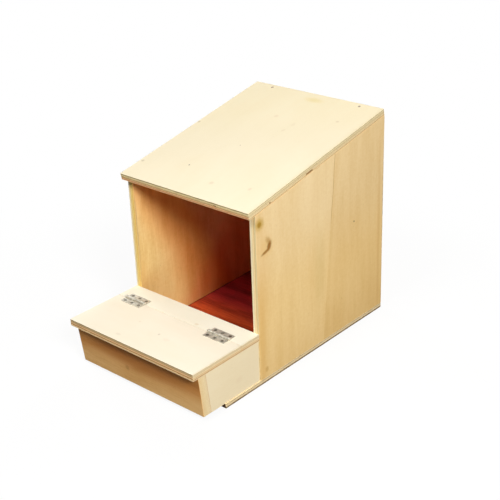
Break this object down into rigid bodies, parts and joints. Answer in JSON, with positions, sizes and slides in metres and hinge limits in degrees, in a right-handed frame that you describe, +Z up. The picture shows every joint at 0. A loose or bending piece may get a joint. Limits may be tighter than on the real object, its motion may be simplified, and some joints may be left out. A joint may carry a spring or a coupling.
{
  "type": "chicken nesting box",
  "caption": "Open-fronted plywood nesting box with a sloping roof, a low egg floor and a front egg tray under a hinged lid.",
  "frame": {"origin": "middle of the whole box's outline on the ground, at the base board's underside", "axes": "+Z up, -Y towards the open front and the egg tray, +X to the right side seen from the front"},
  "size_m": [0.3, 0.522, 0.405],
  "materials": {
    "pale_birch_ply": "sanded, unfinished",
    "side_birch_ply": "sanded, unfinished",
    "tray_birch_ply": "sanded, unfinished",
    "front_pine": "sanded, unfinished",
    "stained_floor": "red-brown stain, satin",
    "cleat_pine": "sawn",
    "zinc_steel": "zinc plated",
    "nail_steel": "bright wire"
  },
  "bodies": {
    "box": {"base_board": "side_birch_ply", "base_brad_left_1": "nail_steel", "base_brad_left_2": "nail_steel", "base_brad_right_1": "nail_steel", "base_brad_right_2": "nail_steel", "floor_middle_cleat": "cleat_pine", "floor_rear_cleat": "cleat_pine", "hinge_strip": "pale_birch_ply", "left_hinge_pin": "zinc_steel", "left_hinge_strip_leaf": "zinc_steel", "left_side_panel": "side_birch_ply", "nest_floor": "stained_floor", "rear_brad_left_1": "nail_steel", "rear_brad_left_2": "nail_steel", "rear_brad_right_1": "nail_steel", "rear_brad_right_2": "nail_steel", "rear_panel": "side_birch_ply", "right_hinge_pin": "zinc_steel", "right_hinge_strip_leaf": "zinc_steel", "right_side_panel": "side_birch_ply", "roof_brad_left_1": "nail_steel", "roof_brad_left_2": "nail_steel", "roof_brad_left_3": "nail_steel", "roof_brad_right_1": "nail_steel", "roof_brad_right_2": "nail_steel", "roof_brad_right_3": "nail_steel", "roof_nail_left_1": "nail_steel", "roof_nail_right_1": "nail_steel", "roof_panel": "pale_birch_ply", "strip_brad_left_1": "nail_steel", "strip_brad_left_2": "nail_steel", "strip_brad_right_1": "nail_steel", "strip_brad_right_2": "nail_steel", "strip_screw_left_1": "zinc_steel", "strip_screw_left_2": "zinc_steel", "strip_screw_left_3": "zinc_steel", "strip_screw_right_1": "zinc_steel", "strip_screw_right_2": "zinc_steel", "strip_screw_right_3": "zinc_steel", "tray_base_brad_left_1": "nail_steel", "tray_base_brad_left_2": "nail_steel", "tray_base_brad_right_1": "nail_steel", "tray_base_brad_right_2": "nail_steel", "tray_front_board": "front_pine", "tray_front_brad_left_1": "nail_steel", "tray_front_brad_left_2": "nail_steel", "tray_front_brad_right_1": "nail_steel", "tray_front_brad_right_2": "nail_steel", "tray_left_side": "tray_birch_ply", "tray_right_side": "tray_birch_ply"},
    "lid": {"left_hinge_lid_leaf": "zinc_steel", "lid_screw_left_1": "zinc_steel", "lid_screw_left_2": "zinc_steel", "lid_screw_left_3": "zinc_steel", "lid_screw_right_1": "zinc_steel", "lid_screw_right_2": "zinc_steel", "lid_screw_right_3": "zinc_steel", "right_hinge_lid_leaf": "zinc_steel", "tray_lid": "pale_birch_ply"}
  },
  "joints": [
    {"name": "tray_lid_hinge", "type": "hinge", "parent": "box", "child": "lid", "pos_m": [0, -0.1443, 0.10445], "axis": [-1, 0, 0], "range_deg": [0, 113]}
  ]
}
